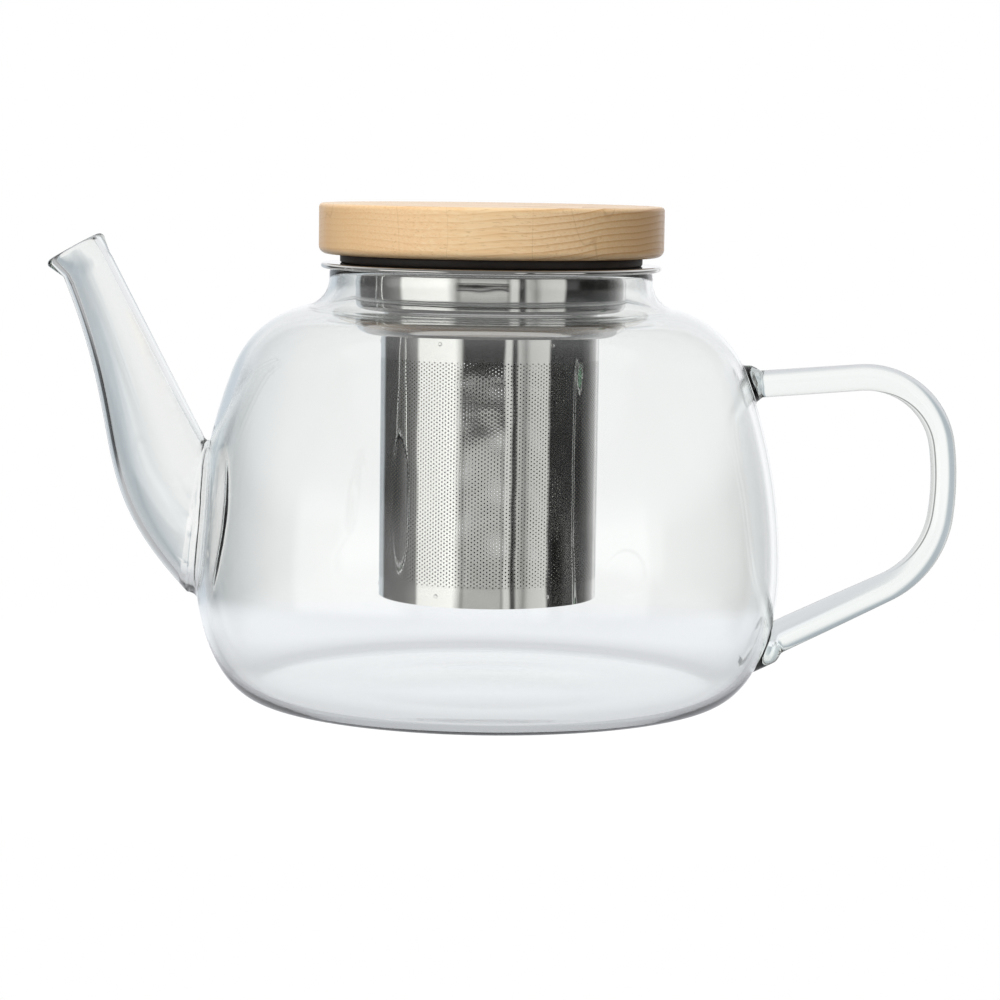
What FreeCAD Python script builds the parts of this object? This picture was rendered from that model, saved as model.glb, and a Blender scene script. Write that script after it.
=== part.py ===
"""A glass teapot with a hanging steel tea strainer and a beech lid.

Millimetres, +Z up. The origin is the centre of the foot ring, on the surface the pot stands on.
The spout points along -X and the handle along +X. The bowl, the spout and the handle are blown and
drawn glass, fused where they meet. The strainer hangs by its flange on the bowl's rim, and the lid
rests on the strainer's flange.
"""
import FreeCAD
import Part
import math
import os
from FreeCAD import Vector

# ---- bowl (blown glass) ----------------------------------------------------------------------
BOWL_RADIUS = 73.3          # widest, at BOWL_WAIST_Z
BOWL_WAIST_Z = 33.0         # height where the heel ends and the side begins
SIDE_RADIUS = 136.4         # the side's long gentle arc
SHOULDER_RADIUS = 25.0
SHOULDER_Z = 73.5           # height of the shoulder arc's centre
NECK_RADIUS = 40.3          # outside
NECK_FILLET = 7.0           # hollow curve between the shoulder and the neck
RIM_Z = 107.3
FOOT_OUTER_RADIUS = 56.3    # flat ring that the pot stands on
FOOT_INNER_RADIUS = 37.0
PUSH_UP = 1.8               # how far the middle of the base is pushed up
BOWL_WALL = 2.0
BASE_WALL = 2.4

# ---- spout (drawn glass tube) ----------------------------------------------------------------
# Both edges are seen from the side as (reach beyond BOWL_RADIUS, height).
SPOUT_TOP_ROOT = (-2.6, 62.8)
SPOUT_TOP_TIP = (24.1, 114.8)
SPOUT_UNDER_ROOT = (2.0, 25.3)
SPOUT_UNDER_ROOT_PULL = (30.0, 54.2)
SPOUT_UNDER_TIP_PULL = (15.8, 64.0)
SPOUT_UNDER_TIP = (35.3, 108.6)
SPOUT_LAG = 2.3             # the short top edge lags behind the long underside by this power
SPOUT_SECTIONS = 8
RING_POINTS = 12            # points that a round section is drawn through
SPOUT_WALL = 1.8
SPOUT_SEAT = 9.0            # how far the tube runs on past its root ring before it is trimmed

# ---- handle (solid glass rod) ----------------------------------------------------------------
HANDLE_ROD_RADIUS = 3.2
HANDLE_START = (-9.3, 79.3)     # on the rod's axis, as reach beyond BOWL_RADIUS and height
HANDLE_HEADING = 4.6            # degrees above level
HANDLE_TOP_RUN = 29.0
HANDLE_BENDS = ((19.4, 86.8), (66.3, 15.5), (23.9, 57.0))   # radius, degrees turned
HANDLE_LOW_RUN = 46.0
HANDLE_FOOT_RADIUS = 4.9        # where the hot glass spreads on the bowl
HANDLE_FOOT_LENGTH = 3.6        # of the spread, outside the bowl

# ---- strainer (stainless steel sheet) --------------------------------------------------------
FLANGE_OVERHANG = 2.2       # past the neck's outside
FLANGE_THICK = 1.4          # over its rolled edge
SHEET = 0.6
COLLAR_GAP = 4.5            # from the neck's bore to the drawn cup below the flange
COLLAR_DEPTH = 16.7         # from the flange's top to the cup's underside
COLLAR_CORNER = 5.0
LEDGE = 6.5                 # from the drawn cup's outside in to the sleeve's outside
SLEEVE_SHEET = 0.4
SLEEVE_LENGTH = 66.3
CUP_SHEET = 0.4             # the closing cup in the sleeve's bottom
CUP_HEIGHT = 5.6

# ---- lid (beech, silicone seal) --------------------------------------------------------------
LID_OVERHANG = 0.5          # past the flange
LID_THICK = 12.5
LID_TOP_ROUND = 1.0
LID_BOTTOM_ROUND = 2.0
LID_PLUG_DEPTH = 10.0       # below the lid's underside
SEAL_BRIM_COVER = 3.9       # past the drawn cup's outside
SEAL_BRIM_THICK = 2.2
SEAL_SKIRT_WALL = 2.2       # between the plug and the skirt's straight stretches
SEAL_RIB_CLEARANCE = 0.15   # rib to collar, on the radius
SEAL_RIB_HEIGHT = 1.85
SEAL_RIB_HALF = 0.9         # half of a rib's width at its foot
SEAL_RIBS = 3

# ---- worked out from the sizes above ---------------------------------------------------------
FLANGE_RADIUS = NECK_RADIUS + FLANGE_OVERHANG
FLANGE_TOP_Z = RIM_Z + FLANGE_THICK
COLLAR_RADIUS = NECK_RADIUS - BOWL_WALL - COLLAR_GAP
COLLAR_BORE = COLLAR_RADIUS - SHEET
COLLAR_UNDERSIDE_Z = FLANGE_TOP_Z - COLLAR_DEPTH
SLEEVE_RADIUS = COLLAR_RADIUS - LEDGE
SLEEVE_BORE = SLEEVE_RADIUS - SLEEVE_SHEET
SLEEVE_BOTTOM_Z = COLLAR_UNDERSIDE_Z - SLEEVE_LENGTH
LID_RADIUS = FLANGE_RADIUS + LID_OVERHANG
LID_BOTTOM_Z = FLANGE_TOP_Z + SEAL_BRIM_THICK
SEAL_BRIM_RADIUS = COLLAR_RADIUS + SEAL_BRIM_COVER
SEAL_RIB_RADIUS = COLLAR_BORE - SEAL_RIB_CLEARANCE
SEAL_SKIRT_RADIUS = SEAL_RIB_RADIUS - SEAL_RIB_HEIGHT
LID_PLUG_RADIUS = SEAL_SKIRT_RADIUS - SEAL_SKIRT_WALL


def at(radius, height):
    """A point of a turned outline, in the plane that holds the axis and +X."""
    return Vector(radius, 0, height)


def line(start, end):
    return Part.LineSegment(start, end).toShape()


def arc(centre, radius, start, end):
    """An arc in the outline's plane. Angles are in radians from +X, rising towards +Z."""
    def on_circle(angle):
        return centre + Vector(radius * math.cos(angle), 0, radius * math.sin(angle))
    return Part.Arc(on_circle(start), on_circle((start + end) / 2), on_circle(end)).toShape()


def end_of(edge, last=True):
    parameter = edge.LastParameter if last else edge.FirstParameter
    return edge.valueAt(parameter)


def turned(edges):
    """The solid that a closed outline sweeps round the axis."""
    face = Part.Face(Part.Wire(Part.sortEdges(edges)[0]))
    return face.revolve(Vector(0, 0, 0), Vector(0, 0, 1), 360)


def bowl_envelope(wall, base, top):
    """The solid inside the bowl's outer skin (wall 0, base 0) or inside its hollow."""
    side_centre = at(BOWL_RADIUS - SIDE_RADIUS, BOWL_WAIST_Z)
    reach = SIDE_RADIUS - SHOULDER_RADIUS
    rise = SHOULDER_Z - BOWL_WAIST_Z
    shoulder_centre = side_centre + Vector(math.sqrt(reach ** 2 - rise ** 2), 0, rise)
    side_end = math.atan2(rise, shoulder_centre.x - side_centre.x)

    fillet_x = NECK_RADIUS + NECK_FILLET
    across = fillet_x - shoulder_centre.x
    up = math.sqrt((SHOULDER_RADIUS + NECK_FILLET) ** 2 - across ** 2)
    fillet_centre = at(fillet_x, SHOULDER_Z + up)
    shoulder_end = math.atan2(up, across)

    heel_width = BOWL_RADIUS - FOOT_OUTER_RADIUS - wall
    heel_height = BOWL_WAIST_Z - base
    heel_centre = at(FOOT_OUTER_RADIUS, BOWL_WAIST_Z)
    heel_ellipse = Part.Ellipse(
        heel_centre - Vector(0, 0, heel_height),
        heel_centre + Vector(heel_width, 0, 0),
        heel_centre,
    )
    heel = Part.ArcOfEllipse(heel_ellipse, 0, math.pi / 2).toShape()
    side = arc(side_centre, SIDE_RADIUS - wall, 0, side_end)
    shoulder = arc(shoulder_centre, SHOULDER_RADIUS - wall, side_end, shoulder_end)
    fillet = arc(fillet_centre, NECK_FILLET + wall, shoulder_end + math.pi, math.pi)

    middle = at(0, PUSH_UP + base)
    crown = at(FOOT_INNER_RADIUS / 2, PUSH_UP * 0.75 + base)
    ring_inside = at(FOOT_INNER_RADIUS, base)
    base_arc = Part.Arc(middle, crown, ring_inside).toShape()
    ring = line(ring_inside, at(FOOT_OUTER_RADIUS, base))
    neck = line(at(NECK_RADIUS - wall, fillet_centre.z), at(NECK_RADIUS - wall, top))
    lid_line = line(at(NECK_RADIUS - wall, top), at(0, top))
    axis = line(at(0, top), middle)
    return turned([base_arc, ring, heel, side, shoulder, fillet, neck, lid_line, axis])


def bowl_skin():
    return bowl_envelope(0, 0, RIM_Z)


def between(start, end, share):
    return tuple(a + (b - a) * share for a, b in zip(start, end))


def spout_underside(share):
    """A point of the underside, on one cubic curve from the root to the tip."""
    points = (SPOUT_UNDER_ROOT, SPOUT_UNDER_ROOT_PULL, SPOUT_UNDER_TIP_PULL, SPOUT_UNDER_TIP)
    while len(points) > 1:
        points = [between(a, b, share) for a, b in zip(points, points[1:])]
    return points[0]


def spout_ring(share, inset, slide=0.0):
    """One round section of the spout, hung between its top edge and its underside.

    A section may slide along its own normal, which points out of the spout.
    """
    top = between(SPOUT_TOP_ROOT, SPOUT_TOP_TIP, share ** SPOUT_LAG)
    under = spout_underside(share)
    chord = Vector(under[0] - top[0], 0, top[1] - under[1])
    down = Vector(-chord.x, 0, -chord.z).normalize()
    outward = Vector(-chord.z, 0, chord.x).normalize()
    middle = Vector(-BOWL_RADIUS - (top[0] + under[0]) / 2, 0, (top[1] + under[1]) / 2)
    centre = middle + outward * slide
    radius = chord.Length / 2 - inset
    turns = [2 * math.pi * step / RING_POINTS for step in range(RING_POINTS)]
    points = [centre + down * (radius * math.cos(turn)) + Vector(0, radius * math.sin(turn), 0)
              for turn in turns]
    curve = Part.BSplineCurve()
    curve.interpolate(Points=points, PeriodicFlag=True)
    return Part.Wire(curve.toShape())


def spout_horn(inset, seat, past_tip=0.0):
    """The spout as a solid, inset from its outer skin and run on into the bowl by seat."""
    shares = [step / (SPOUT_SECTIONS - 1) for step in range(SPOUT_SECTIONS)]
    rings = [spout_ring(0, inset, -seat)]
    rings += [spout_ring(share, inset) for share in shares]
    if past_tip:
        rings.append(spout_ring(1, inset, past_tip))
    return Part.makeLoft(rings, True, False, False, 3)


def spout_bore():
    return spout_horn(SPOUT_WALL, SPOUT_SEAT, SPOUT_WALL)


def glass_bowl():
    hollow = bowl_envelope(BOWL_WALL, BASE_WALL, RIM_Z)
    return bowl_skin().cut(hollow).cut(spout_bore())


def spout():
    return spout_horn(0, SPOUT_SEAT / 2).cut(spout_bore()).cut(bowl_skin())


def handle_path():
    """The rod's axis as straight runs and tangent bends, and the headings at its two ends."""
    place = Vector(BOWL_RADIUS + HANDLE_START[0], 0, HANDLE_START[1])
    heading = math.radians(HANDLE_HEADING)
    first = Vector(math.cos(heading), 0, math.sin(heading))
    edges = [line(place, place + first * HANDLE_TOP_RUN)]
    place = place + first * HANDLE_TOP_RUN
    for radius, turn in HANDLE_BENDS:
        centre = place + Vector(math.sin(heading), 0, -math.cos(heading)) * radius
        start = heading + math.pi / 2
        heading -= math.radians(turn)
        edges.append(arc(centre, radius, start, heading + math.pi / 2))
        place = end_of(edges[-1])
    last = Vector(math.cos(heading), 0, math.sin(heading))
    edges.append(line(place, place + last * HANDLE_LOW_RUN))
    return edges, first, last


def handle_foot(entry, inward):
    """The spread of glass where the rod meets the bowl, a cone along the rod's own axis."""
    length = HANDLE_FOOT_LENGTH + HANDLE_FOOT_RADIUS
    start = entry - inward * HANDLE_FOOT_LENGTH
    slope = (HANDLE_FOOT_RADIUS - HANDLE_ROD_RADIUS) / HANDLE_FOOT_LENGTH
    end_radius = HANDLE_ROD_RADIUS + slope * length
    return Part.makeCone(HANDLE_ROD_RADIUS, end_radius, length, start, inward)


def handle():
    skin = bowl_skin()
    edges, first, last = handle_path()
    ring = Part.Wire(Part.Circle(end_of(edges[0], False), first, HANDLE_ROD_RADIUS).toShape())
    rod = Part.Wire(edges).makePipeShell([ring], True, False)
    for run, inward in ((edges[0], first * -1), (edges[-1], last)):
        entry = skin.section(run).Vertexes[0].Point
        rod = rod.fuse(handle_foot(entry, inward))
    return rod.cut(skin)


def infuser_collar():
    """Flange, drawn cup and the ledge that the sleeve hangs from, in one sheet."""
    edge_round = FLANGE_THICK / 2
    edge_x = FLANGE_RADIUS - edge_round
    ledge_z = COLLAR_UNDERSIDE_Z
    corner = at(COLLAR_RADIUS - COLLAR_CORNER, ledge_z + COLLAR_CORNER)
    return turned([
        line(at(COLLAR_BORE, FLANGE_TOP_Z), at(edge_x, FLANGE_TOP_Z)),
        arc(at(edge_x, RIM_Z + edge_round), edge_round, math.pi / 2, -math.pi / 2),
        line(at(edge_x, RIM_Z), at(COLLAR_RADIUS, RIM_Z)),
        line(at(COLLAR_RADIUS, RIM_Z), at(COLLAR_RADIUS, corner.z)),
        arc(corner, COLLAR_CORNER, 0, -math.pi / 2),
        line(at(corner.x, ledge_z), at(SLEEVE_BORE, ledge_z)),
        line(at(SLEEVE_BORE, ledge_z), at(SLEEVE_BORE, ledge_z + SHEET)),
        line(at(SLEEVE_BORE, ledge_z + SHEET), at(corner.x, ledge_z + SHEET)),
        arc(corner, COLLAR_CORNER - SHEET, -math.pi / 2, 0),
        line(at(COLLAR_BORE, corner.z), at(COLLAR_BORE, FLANGE_TOP_Z)),
    ])


def tube(outer, inner, bottom, height):
    base = Vector(0, 0, bottom)
    return Part.makeCylinder(outer, height, base).cut(Part.makeCylinder(inner, height, base))


def infuser_sleeve():
    return tube(SLEEVE_RADIUS, SLEEVE_BORE, SLEEVE_BOTTOM_Z, SLEEVE_LENGTH)


def infuser_base():
    """A shallow cup pressed into the sleeve's bottom, flush with its end."""
    cup = Part.makeCylinder(SLEEVE_BORE, CUP_HEIGHT, Vector(0, 0, SLEEVE_BOTTOM_Z))
    inside = Part.makeCylinder(SLEEVE_BORE - CUP_SHEET, CUP_HEIGHT, Vector(0, 0, SLEEVE_BOTTOM_Z + SHEET))
    return cup.cut(inside)


def lid_disc():
    """The beech lid and the plug below it, turned from one piece."""
    top_z = LID_BOTTOM_Z + LID_THICK
    plug_z = LID_BOTTOM_Z - LID_PLUG_DEPTH
    return turned([
        line(at(0, top_z), at(LID_RADIUS - LID_TOP_ROUND, top_z)),
        arc(at(LID_RADIUS - LID_TOP_ROUND, top_z - LID_TOP_ROUND), LID_TOP_ROUND, math.pi / 2, 0),
        line(at(LID_RADIUS, top_z - LID_TOP_ROUND), at(LID_RADIUS, LID_BOTTOM_Z + LID_BOTTOM_ROUND)),
        arc(at(LID_RADIUS - LID_BOTTOM_ROUND, LID_BOTTOM_Z + LID_BOTTOM_ROUND), LID_BOTTOM_ROUND,
            0, -math.pi / 2),
        line(at(LID_RADIUS - LID_BOTTOM_ROUND, LID_BOTTOM_Z), at(LID_PLUG_RADIUS, LID_BOTTOM_Z)),
        line(at(LID_PLUG_RADIUS, LID_BOTTOM_Z), at(LID_PLUG_RADIUS, plug_z)),
        line(at(LID_PLUG_RADIUS, plug_z), at(0, plug_z)),
        line(at(0, plug_z), at(0, top_z)),
    ])


def lid_seal():
    """A silicone ring on the plug: a flat brim under the lid and a ribbed skirt in the collar."""
    plug_z = LID_BOTTOM_Z - LID_PLUG_DEPTH
    ring = tube(SEAL_BRIM_RADIUS, LID_PLUG_RADIUS, FLANGE_TOP_Z, SEAL_BRIM_THICK)
    ring = ring.fuse(tube(SEAL_SKIRT_RADIUS, LID_PLUG_RADIUS, plug_z, FLANGE_TOP_Z - plug_z))
    pitch = (FLANGE_TOP_Z - plug_z) / (SEAL_RIBS + 1)
    for rib in range(SEAL_RIBS):
        height = plug_z + pitch * (rib + 1)
        ring = ring.fuse(turned([
            line(at(SEAL_SKIRT_RADIUS, height - SEAL_RIB_HALF), at(SEAL_RIB_RADIUS, height)),
            line(at(SEAL_RIB_RADIUS, height), at(SEAL_SKIRT_RADIUS, height + SEAL_RIB_HALF)),
            line(at(SEAL_SKIRT_RADIUS, height + SEAL_RIB_HALF), at(LID_PLUG_RADIUS, height)),
            line(at(LID_PLUG_RADIUS, height), at(SEAL_SKIRT_RADIUS, height - SEAL_RIB_HALF)),
        ]))
    return ring.removeSplitter()


PIECES = (glass_bowl, spout, handle, infuser_collar, infuser_sleeve, infuser_base, lid_disc, lid_seal)

os.makedirs("parts", exist_ok=True)
for make in PIECES:
    shape = make()
    solids = shape.Solids
    print(make.__name__, "solids", len(solids), "valid", shape.isValid(), "mm3", round(shape.Volume))
    shape.exportStep(os.path.join("parts", make.__name__ + ".step"))
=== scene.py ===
"""The looks of a glass teapot with a perforated steel strainer and a beech lid.

Lengths are in millimetres until a mesh is made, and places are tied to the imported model's boxes. The
pot is one fused sheet of glass (bowl, spout and handle), the strainer and the lid are turned shapes,
and the strainer's holes and spot welds are laid out by geometry nodes.
"""
import math

import bpy
import numpy as np
from mathutils import Matrix, Vector


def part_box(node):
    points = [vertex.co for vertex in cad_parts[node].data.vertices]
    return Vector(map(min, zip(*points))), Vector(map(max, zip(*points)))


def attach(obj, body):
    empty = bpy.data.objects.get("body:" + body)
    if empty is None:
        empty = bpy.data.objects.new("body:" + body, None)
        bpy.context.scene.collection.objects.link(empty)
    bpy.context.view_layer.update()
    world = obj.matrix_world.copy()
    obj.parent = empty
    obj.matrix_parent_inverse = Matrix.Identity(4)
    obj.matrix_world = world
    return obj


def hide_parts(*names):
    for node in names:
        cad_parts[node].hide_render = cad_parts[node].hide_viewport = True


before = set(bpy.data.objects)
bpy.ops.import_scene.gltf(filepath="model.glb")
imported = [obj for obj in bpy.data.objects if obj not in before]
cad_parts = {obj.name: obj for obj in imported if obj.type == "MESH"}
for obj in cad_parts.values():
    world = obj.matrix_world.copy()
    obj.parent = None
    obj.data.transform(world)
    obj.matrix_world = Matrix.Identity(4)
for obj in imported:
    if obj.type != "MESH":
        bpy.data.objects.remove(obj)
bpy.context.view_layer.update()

MM = 0.001
TURN = 2 * math.pi


def low(node):
    return np.array(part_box(node)[0]) / MM


def high(node):
    return np.array(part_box(node)[1]) / MM


# ---- sizes, mm -------------------------------------------------------------------------------
BOWL_RADIUS = high("glass_bowl")[1]
RIM_Z = high("glass_bowl")[2]
WAIST_Z = 33.0              # where the heel ends and the side begins
SIDE_RADIUS = 136.4
SHOULDER_RADIUS = 25.0
SHOULDER_Z = 73.5
NECK_RADIUS = 40.3
NECK_FILLET = 7.0
FOOT_OUTER = 56.3
FOOT_INNER = 37.0
PUSH_UP = 1.8
WALL = 2.0
BASE_WALL = 2.4

SPOUT_TOP = ((70.7, 62.8), (97.4, 114.8))
SPOUT_UNDER = ((75.3, 25.3), (103.3, 54.2), (89.1, 64.0), (108.6, 108.6))
SPOUT_LAG = 2.3             # power by which its top edge starts later than its underside
SPOUT_WALL = 1.8
SPOUT_FILLET = 2.2          # of its joint with the bowl, outside
BORE_FILLET = 3.6           # and inside
SPOUT_END = 0.994           # share of its length at which the rounded edge begins
SPOUT_SLIDE = 14.0          # how far a section may be slid into the bowl to reach its wall
LIP_FLARE = 2.1             # how far the pouring lip turns out below the tip
LIP_BEAD = 1.3              # radius of the fire-polished edge

ROD_RADIUS = (3.4, 3.25, 4.1)   # at the handle's upper end, at its outer side and at its lower end
ROD_START = (64.0, 79.3)
ROD_HEADING = 4.6
ROD_RUNS = (29.0, 46.0)
ROD_BENDS = ((19.4, 86.8), (66.3, 15.5), (23.9, 57.0))
ROD_FOOT = 1.5              # extra radius where the rod is fused to the bowl
ROD_FOOT_LENGTH = 2.6
ROD_FILLET = 0.9

COLUMNS = 192               # of the bowl's mesh
ROW = 2.1                   # its row spacing


# ---- meshes ----------------------------------------------------------------------------------
def finished(name, mesh, material, body, nodes):
    """A mesh as a piece in its place, with its material, and declared to the frame."""
    piece = bpy.data.objects.new(name, mesh)
    bpy.context.scene.collection.objects.link(piece)
    mesh.materials.clear()
    mesh.materials.append(material)
    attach(piece, body)
    if nodes:
        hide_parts(*nodes)
    return piece


def mesh_piece(name, points, faces, material, body, nodes):
    """A smooth piece from points in mm."""
    mesh = bpy.data.meshes.new(name)
    mesh.from_pydata((np.asarray(points) * MM).tolist(), [], [tuple(map(int, f)) for f in faces])
    mesh.validate()
    mesh.polygons.foreach_set("use_smooth", [True] * len(mesh.polygons))
    return finished(name, mesh, material, body, nodes)


def arc_points(centre, radius, start, end, step):
    """Points of an arc, without its last one. Angles are in degrees from +r, rising towards +z."""
    count = max(2, int(math.ceil(abs(math.radians(end - start)) * radius / step)))
    angles = np.radians(np.linspace(start, end, count + 1)[:-1])
    return np.stack([centre[0] + radius * np.cos(angles), centre[1] + radius * np.sin(angles)], 1)


def run_points(start, end, step):
    """Points of a straight run, without its last one."""
    start, end = np.array(start, float), np.array(end, float)
    count = max(1, int(round(np.linalg.norm(end - start) / step)))
    return start + (end - start) * np.linspace(0, 1, count + 1)[:-1, None]


def turned_faces(rows, columns):
    """Quads of a turned grid. Outlines run anticlockwise round the material, seen with +r right."""
    j, i = np.meshgrid(np.arange(rows - 1), np.arange(columns), indexing="ij")
    k = (i + 1) % columns
    corner = [j * columns + i, j * columns + k, (j + 1) * columns + k, (j + 1) * columns + i]
    return np.stack([c.ravel() for c in corner], 1)


def turned_points(outline, columns):
    angle = TURN * np.arange(columns) / columns
    r, z = outline[:, :1], outline[:, 1:]
    return np.stack([r * np.cos(angle), r * np.sin(angle), z + 0 * angle], 2).reshape(-1, 3)


def turned_piece(name, outline, material, body, nodes, columns=160, closed=True):
    """A turned solid. A closed outline is a ring; an open one starts and ends on the axis."""
    outline = np.vstack(outline)
    if closed:
        points = turned_points(outline, columns)
        faces = turned_faces(len(outline) + 1, columns) % len(points)
    else:
        middle = outline[1:-1]
        points = turned_points(middle, columns)
        faces = [*turned_faces(len(middle), columns), *pole_faces(len(middle), columns, len(points))]
        points = np.vstack([points, (0, 0, outline[0][1]), (0, 0, outline[-1][1])])
    return mesh_piece(name, points, faces, material, body, nodes)


def pole_faces(rows, columns, first_pole):
    """Triangles from the first and the last row of a turned grid to its two poles."""
    last = (rows - 1) * columns
    start = [(first_pole, (i + 1) % columns, i) for i in range(columns)]
    end = [(first_pole + 1, last + i, last + (i + 1) % columns) for i in range(columns)]
    return start + end


# ---- the glass pot ---------------------------------------------------------------------------
def bowl_side(wall, base):
    """The bowl's outline from the foot ring's inside edge up to the neck, wall mm inside its skin."""
    side = (BOWL_RADIUS - SIDE_RADIUS, WAIST_Z)
    reach, rise = SIDE_RADIUS - SHOULDER_RADIUS, SHOULDER_Z - WAIST_Z
    shoulder = (side[0] + math.sqrt(reach ** 2 - rise ** 2), SHOULDER_Z)
    side_end = math.degrees(math.atan2(rise, shoulder[0] - side[0]))
    across = NECK_RADIUS + NECK_FILLET - shoulder[0]
    up = math.sqrt((SHOULDER_RADIUS + NECK_FILLET) ** 2 - across ** 2)
    fillet = (NECK_RADIUS + NECK_FILLET, SHOULDER_Z + up)
    shoulder_end = math.degrees(math.atan2(up, across))
    quarter = np.radians(np.linspace(-90, 0, 23)[:-1])
    heel = np.stack([FOOT_OUTER + (BOWL_RADIUS - FOOT_OUTER - wall) * np.cos(quarter),
                     WAIST_Z + (WAIST_Z - base) * np.sin(quarter)], 1)
    return np.vstack([
        run_points((FOOT_INNER, base), (FOOT_OUTER, base), ROW),
        heel,
        arc_points(side, SIDE_RADIUS - wall, 0, side_end, ROW),
        arc_points(shoulder, SHOULDER_RADIUS - wall, side_end, shoulder_end, ROW * 0.7),
        arc_points(fillet, NECK_FILLET + wall, shoulder_end + 180, 180, ROW * 0.4),
        [(NECK_RADIUS - wall, fillet[1])],
    ])


def base_middle(base):
    """The pushed-up middle of the base, from the axis out to the foot ring."""
    r = np.linspace(0, FOOT_INNER, 15)[:-1]
    lift = PUSH_UP * (0.5 + 0.5 * np.cos(math.pi * r / FOOT_INNER))
    return np.stack([r, base + lift], 1)


def bowl_outline():
    """The whole section of the bowl: out along the base, up, over the rim, and back down inside."""
    outer = np.vstack([base_middle(0), bowl_side(0, 0)])
    inner = np.vstack([base_middle(BASE_WALL), bowl_side(WALL, BASE_WALL)])
    edge = WALL / 2
    rim = arc_points((NECK_RADIUS - edge, RIM_Z - edge), edge, 0, 180, 0.35)
    return np.vstack([outer, rim, [(NECK_RADIUS - WALL, RIM_Z - edge)], inner[::-1]]), len(outer)


def bezier(points, share):
    """A point of a Bezier curve, by repeated halving of its control points."""
    points = np.array(points, float)
    while len(points) > 1:
        points = points[:-1] + (points[1:] - points[:-1]) * share
    return points[0]


def spout_section(share):
    """Centre, unit normal, unit vector to the top edge and radius of one round section."""
    inside = max(share, 0.0)
    top = np.array(SPOUT_TOP[0]) + (np.array(SPOUT_TOP[1]) - SPOUT_TOP[0]) * inside ** SPOUT_LAG
    under = bezier(SPOUT_UNDER, inside)
    top, under = (np.array([-p[0], 0, p[1]]) for p in (top, under))
    across = top - under
    radius = np.linalg.norm(across) / 2
    upward = across / (2 * radius)
    normal = np.array([-upward[2], 0, upward[0]])
    centre = (top + under) / 2 + normal * min(share, 0.0) * SPOUT_SLIDE
    return centre, normal, upward, radius


def spout_point(share, angle, inset):
    """A point of the spout's skin. The angle runs from -Y towards the top edge."""
    centre, _, upward, radius = spout_section(share)
    under = max(0.0, -math.sin(angle)) ** 4
    near_tip = min(1.0, max(0.0, (share - 0.964) / 0.03))
    flare = LIP_FLARE * (0.05 + 0.95 * under) * near_tip ** 2
    reach = radius - inset + flare
    return centre + reach * (math.cos(angle) * np.array([0, -1, 0]) + math.sin(angle) * upward)


def rod_path():
    """The handle's axis as closely spaced points in the plane y = 0, by its length so far."""
    place, heading = np.array(ROD_START), math.radians(ROD_HEADING)
    stretches = [(ROD_RUNS[0], 0.0)]
    stretches += [(radius * math.radians(turn), 1 / radius) for radius, turn in ROD_BENDS]
    stretches += [(ROD_RUNS[1], 0.0)]
    step, points = 0.1, [place]
    for length, bend in stretches:
        for _ in range(int(length / step)):
            middle = heading - bend * step / 2
            place = place + step * np.array([math.cos(middle), math.sin(middle)])
            heading -= bend * step
            points.append(place)
    points = np.array(points)
    return np.arange(len(points)) * step, np.stack([points[:, 0], 0 * points[:, 0], points[:, 1]], 1)


class Host:
    """One skin of the bowl that a tube is fused to, addressed by angle and row.

    Heights are positive on the side that the tube's lines start from.
    """

    def __init__(self, outline, first, last, inside):
        self.outline, self.first, self.last, self.inside = outline, first, last, inside
        rows = np.linspace(first, last, (last - first) * 12)
        self.fine = self.at_rows(rows)
        ahead = np.gradient(self.fine, axis=0)
        ahead /= np.linalg.norm(ahead, axis=1)[:, None]
        self.normal = np.stack([ahead[:, 1], -ahead[:, 0]], 1)
        self.rows = rows

    def at_rows(self, rows):
        whole = np.arange(len(self.outline))
        return np.stack([np.interp(rows, whole, self.outline[:, k]) for k in (0, 1)], -1)

    def surface(self, angle, row):
        r, z = self.at_rows(row).T
        return np.stack([r * np.cos(angle), r * np.sin(angle), z], -1)

    def row_at(self, z):
        return int(round(self.rows[np.abs(self.fine[:, 1] - z).argmin()]))

    def locate(self, points):
        """Height over the skin, angle and row of some points."""
        flat = np.stack([np.hypot(points[:, 0], points[:, 1]), points[:, 2]], 1)
        nearest = ((flat[:, None] - self.fine[None]) ** 2).sum(2).argmin(1)
        height = ((flat - self.fine[nearest]) * self.normal[nearest]).sum(1)
        height = -height if self.inside else height
        return height, np.arctan2(points[:, 1], points[:, 0]), self.rows[nearest]


def line_angle(k, count):
    """Where line k runs on a tube. Line 0 meets the first corner of the square that the tube grows from."""
    return TURN * (k / count - 0.375)


def facing_line(k, count):
    """The line that meets line k of a ring that is walked the other way."""
    return (3 * count // 4 - k) % count


def strip(upper, lower):
    """Quads between two rings of vertex numbers, the lower ring first."""
    count = len(lower)
    return [(lower[k], lower[(k + 1) % count], upper[(k + 1) % count], upper[k]) for k in range(count)]


def spread(starts, ends, rows, surface):
    """Rows of points between two places on every line, the ends left out."""
    shares = np.linspace(0, 1, rows + 2)[1:-1]
    return [[surface(k, a + (b - a) * s) for k, (a, b) in enumerate(zip(starts, ends))] for s in shares]


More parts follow.
